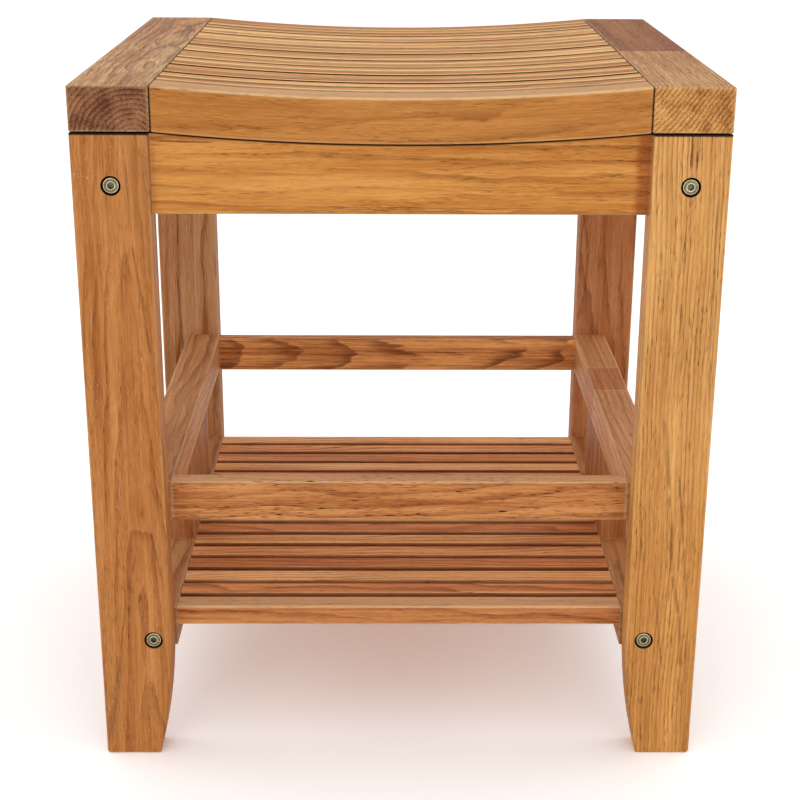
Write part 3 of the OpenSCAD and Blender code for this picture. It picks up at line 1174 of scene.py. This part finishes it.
class BENCH_OT_seat_slats(bpy.types.Operator):
    """Model the dished seat's slats and finish each as a board of its own"""

    bl_idname = "bench.seat_slats"
    bl_label = "Model the seat's slats"

    def execute(self, context):
        seat = context.scene.shower_bench.seat
        dish = seat.dish / MM
        patterns = {}
        for index, node in enumerate(SEAT_SLATS):
            low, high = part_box(node)
            width, thickness = high.y - low.y, high.z - low.z - seat.dish
            if thickness <= 0:
                raise RuntimeError(f"the seat's dish is deeper than {node} allows")
            kind = round(width, 5)  # slats of one width are copies of one pattern
            if kind not in patterns:
                patterns[kind] = seat_slat(f"slat_pattern_{len(patterns)}", width, thickness, seat)
            place = (0, (low.y + high.y) / 2, 0)
            slat = copy_to(patterns[kind], f"bent_slat_{index + 1:02d}", place)
            look = stock_look(SEAT_STOCK, SEAT_GAPS, index, edge=0.25, streaks=0.75)
            if index == 0:
                look = look._replace(
                    light=(197, 133, 66),
                    dark=(162, 96, 37),
                    rings=7,
                    lines=0.3,
                    pale_top=0.4,
                )
            dress(slat, teak(f"Teak {slat.name}", node, SIDEWAYS_FLAT, look, 30 + index, dish))
            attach(slat, "root")
            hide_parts(node)
        for pattern in patterns.values():
            bpy.data.objects.remove(pattern)
        return {"FINISHED"}


class BENCH_OT_shelf(bpy.types.Operator):
    """Finish the shelf's rails and slats"""

    bl_idname = "bench.shelf"
    bl_label = "Finish the shelf"

    def execute(self, context):
        for seed, (node, look) in enumerate(SHELF_RAILS.items(), 60):
            finish_node(node, teak(f"Teak {node}", node, LENGTHWISE, look, seed))
        for index, node in enumerate(SHELF_SLATS):
            look = stock_look(SHELF_STOCK, SHELF_GAPS, index, edge=0.35, gap_tone=(128, 62, 30))
            if index == 0:
                look = look._replace(light=(210, 140, 84), dark=(156, 84, 40), pale_top=0.5)
            finish_node(node, teak(f"Teak {node}", node, SIDEWAYS_FLAT, look, 64 + index))
        return {"FINISHED"}


class BENCH_OT_basket_ring(bpy.types.Operator):
    """Finish the basket ring and the two panels that carry it"""

    bl_idname = "bench.basket_ring"
    bl_label = "Finish the basket ring"

    def execute(self, context):
        for seed, (node, (axes, look)) in enumerate(RINGS.items(), 90):
            finish_node(node, teak(f"Teak {node}", node, axes, look, seed))
        for seed, (node, look) in enumerate(PANELS.items(), 96):
            finish_node(node, teak(f"Teak {node}", node, UPRIGHT_SIDE, look, seed))
        return {"FINISHED"}


class BENCH_OT_bolts(bpy.types.Operator):
    """Model the eight connector bolts and finish the nuts and dowels"""

    bl_idname = "bench.bolts"
    bl_label = "Model the bolts"

    def execute(self, context):
        bolts = context.scene.shower_bench.bolts
        pattern = bolt("bolt_pattern", bolts)
        placed = []
        for end in (-1, 1):
            turn_mesh(pattern, -end * math.pi / 2)
            for side in (-1, 1):
                for x, z in bolt_axes():
                    place = (side * x, end * BOLTS_HIGH.y, z)
                    placed.append(copy_to(pattern, f"bolt_{len(placed)}", place))
            turn_mesh(pattern, end * math.pi / 2)
        bpy.data.objects.remove(pattern)
        select_only(placed[0])
        for piece in placed:
            piece.select_set(True)
        bpy.ops.object.join()
        piece = bpy.context.active_object
        piece.name = piece.data.name = "socket_bolts"
        grime = tone(88, 76, 36)
        dress(piece, plated("Bolt plating", tuple(bolts.plating), grime, 0.24, turned=True))
        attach(piece, "root")
        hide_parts("connector_bolts")
        grime = tone(90, 90, 92)
        zinc = plated("Nut plating", tuple(bolts.zinc), grime, 0.36, turned=False)
        finish_node("barrel_nuts", zinc)
        wood = beech("Beech dowels")
        finish_node("large_dowels", wood)
        finish_node("small_dowels", wood)
        return {"FINISHED"}


class BENCH_OT_stage(bpy.types.Operator):
    """Set up the floor, the lamps, the white surroundings and the camera"""

    bl_idname = "bench.stage"
    bl_label = "Set up the stage"

    def execute(self, context):
        stage = context.scene.shower_bench.stage
        context.scene.view_settings.view_transform = "Standard"
        bpy.ops.object.select_all(action="DESELECT")
        bpy.ops.mesh.primitive_plane_add(size=1, location=(0, 0, 0))
        floor = context.active_object
        floor.name = "floor"
        floor.scale = (FLOOR_SIZE, FLOOR_SIZE, 1)
        bpy.ops.object.transform_apply(location=True, rotation=True, scale=True)
        dress(floor, floor_material(tuple(stage.floor_colour)))
        light_world(context.scene, stage.sky)
        target = Vector((0, 0, 0.24))  # the bench's middle, at which all lamps are aimed
        for name, place, size, power in (
            ("Key light", (-1.2, -2.5, 0.95), 1.5, stage.key_power),
            ("Fill light", (0.9, -2.5, 0.45), 1.5, stage.fill_power),
            ("Left light", (-2.2, 0.3, 0.8), 1.2, stage.side_power),
            ("Right light", (2.2, 0.3, 0.8), 1.2, stage.side_power),
            ("Top light", (0.1, 0.3, 2.3), 1.6, stage.top_power),
        ):
            lamp = bpy.data.objects.new(name, bpy.data.lights.new(name, "AREA"))
            lamp.data.shape = "DISK"
            lamp.data.size = size
            lamp.data.energy = power
            lamp.location = place
            lamp.rotation_euler = (target - Vector(place)).to_track_quat("-Z", "Y").to_euler()
            context.scene.collection.objects.link(lamp)
        tip, turn, roll = stage.camera_turn
        view = bpy.data.cameras.new("Camera")
        view.lens = stage.lens
        view.sensor_width = 36
        view.shift_y = stage.shift
        camera = bpy.data.objects.new("Camera", view)
        aim = Euler((math.pi / 2 - tip, 0, turn)).to_matrix() @ Matrix.Rotation(roll, 3, "Z")
        camera.matrix_world = Matrix.Translation(stage.camera_place) @ aim.to_4x4()
        context.scene.collection.objects.link(camera)
        context.scene.camera = camera
        return {"FINISHED"}


def floor_material(colour):
    """A pale floor that the camera sees as white wherever no shadow falls."""
    shown_white = (1.32, 1.32, 1.32)
    graph = Graph(bpy.data.materials.new("Floor"))
    place = graph.add("ShaderNodeTexCoord", output="Object")
    mottle = graph.noise(place, (0.9, 0.9, 0.9), 1, 2) - 0.5
    shown = graph.blend(graph.background_ray(), colour, shown_white)
    matt = graph.add(
        "ShaderNodeBsdfDiffuse", inputs={"Color": graph.shade(shown, mottle * 0.02 + 1)}
    )
    graph.add("ShaderNodeOutputMaterial", inputs={"Surface": matt})
    return graph.owner


def light_world(scene, strength):
    """Even light from all around, which the camera, shiny metal and glass see as white."""
    scene.world = bpy.data.worlds.new("Surroundings")
    graph = Graph(scene.world)
    level = graph.background_ray() * (1 - strength) + strength
    light = graph.add("ShaderNodeBackground", inputs={"Color": (1, 1, 1, 1), "Strength": level})
    graph.add("ShaderNodeOutputWorld", inputs={"Surface": light})


class BENCH_PT_panel(bpy.types.Panel):
    """Lists the bench's settings and the steps that build it"""

    bl_label = "Shower bench"
    bl_idname = "BENCH_PT_panel"
    bl_space_type = "VIEW_3D"
    bl_region_type = "UI"
    bl_category = "Shower bench"

    def draw(self, context):
        settings = context.scene.shower_bench
        for title, group in (
            ("Teak", settings.teak),
            ("Seat", settings.seat),
            ("Bolts", settings.bolts),
            ("Stage", settings.stage),
        ):
            box = self.layout.box()
            box.label(text=title)
            for name in group.__annotations__:
                box.prop(group, name)
        for operator in STEPS:
            self.layout.operator(operator.bl_idname)


STEPS = (
    BENCH_OT_stage,
    BENCH_OT_legs,
    BENCH_OT_aprons,
    BENCH_OT_seat_ends,
    BENCH_OT_seat_slats,
    BENCH_OT_shelf,
    BENCH_OT_basket_ring,
    BENCH_OT_bolts,
)
CLASSES = (
    TeakSettings,
    SeatSettings,
    BoltSettings,
    StageSettings,
    BenchSettings,
    *STEPS,
    BENCH_PT_panel,
)


def register():
    for cls in CLASSES:
        bpy.utils.register_class(cls)
    bpy.types.Scene.shower_bench = PointerProperty(type=BenchSettings)


def unregister():
    del bpy.types.Scene.shower_bench
    for cls in reversed(CLASSES):
        bpy.utils.unregister_class(cls)


def main():
    register()
    bpy.ops.bench.stage()
    bpy.ops.bench.legs()
    bpy.ops.bench.aprons()
    bpy.ops.bench.seat_ends()
    bpy.ops.bench.seat_slats()
    bpy.ops.bench.shelf()
    bpy.ops.bench.basket_ring()
    bpy.ops.bench.bolts()


if __name__ == "__main__":
    main()
